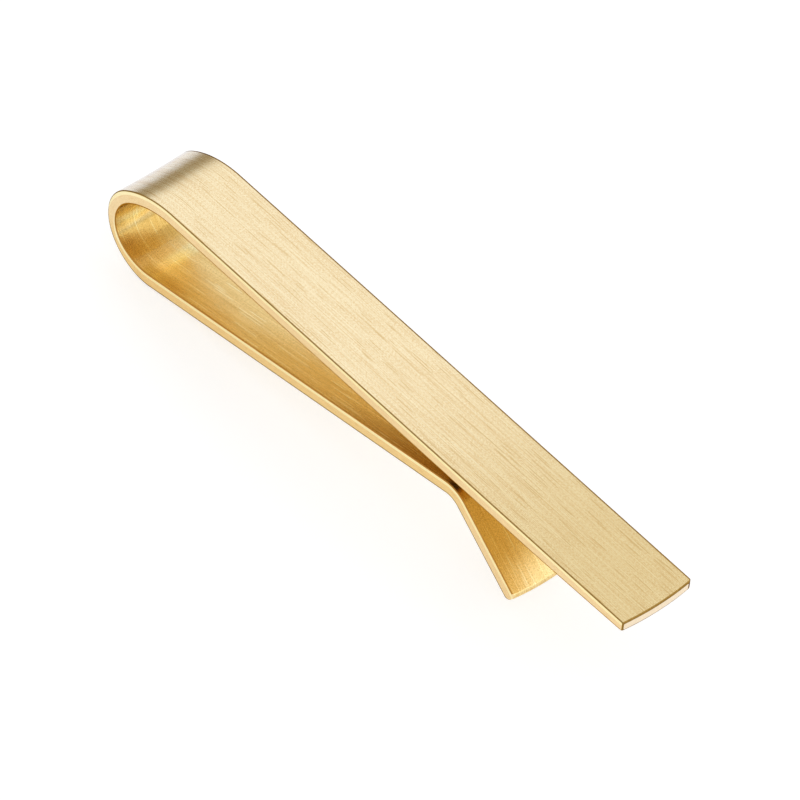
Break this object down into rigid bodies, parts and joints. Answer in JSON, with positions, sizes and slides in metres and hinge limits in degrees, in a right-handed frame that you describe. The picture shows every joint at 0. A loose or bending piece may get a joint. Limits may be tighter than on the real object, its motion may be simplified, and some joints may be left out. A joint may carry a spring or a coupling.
{
  "type": "tie clip",
  "caption": "Slide-on tie bar bent from a single brushed, gold-coloured metal strip, with a springy back tongue that pinches the tie and shirt.",
  "frame": {"origin": "middle of the bounding box's bottom, at the height of the lowest point of the bend", "axes": "+X along the bar from the bend to the free end, +Y across the strip, +Z out of the front face"},
  "size_m": [0.051, 0.006, 0.0086],
  "materials": {
    "brushed_gold_bar": "brushed along the strip, gold plated",
    "brushed_gold_shoulder": "brushed along the strip, gold plated",
    "brushed_gold_bend": "brushed along the strip, gold plated",
    "brushed_gold_tongue": "brushed along the strip, gold plated",
    "brushed_gold_knee": "brushed along the strip, gold plated",
    "brushed_gold_lip": "brushed along the strip, gold plated"
  },
  "bodies": {
    "bar": {"front_bar": "brushed_gold_bar", "shoulder_bend": "brushed_gold_shoulder", "spring_bend": "brushed_gold_bend"},
    "tongue": {"back_tongue": "brushed_gold_tongue", "grip_knee": "brushed_gold_knee", "lead_in_lip": "brushed_gold_lip"}
  },
  "joints": [
    {"name": "tongue_flex", "type": "hinge", "parent": "bar", "child": "tongue", "pos_m": [-0.0216, 0, 0.0039], "axis": [0, 1, 0], "range_deg": [0, 7], "stiffness_Nm_per_rad": 1.6, "deforming": ["spring_bend"]}
  ]
}
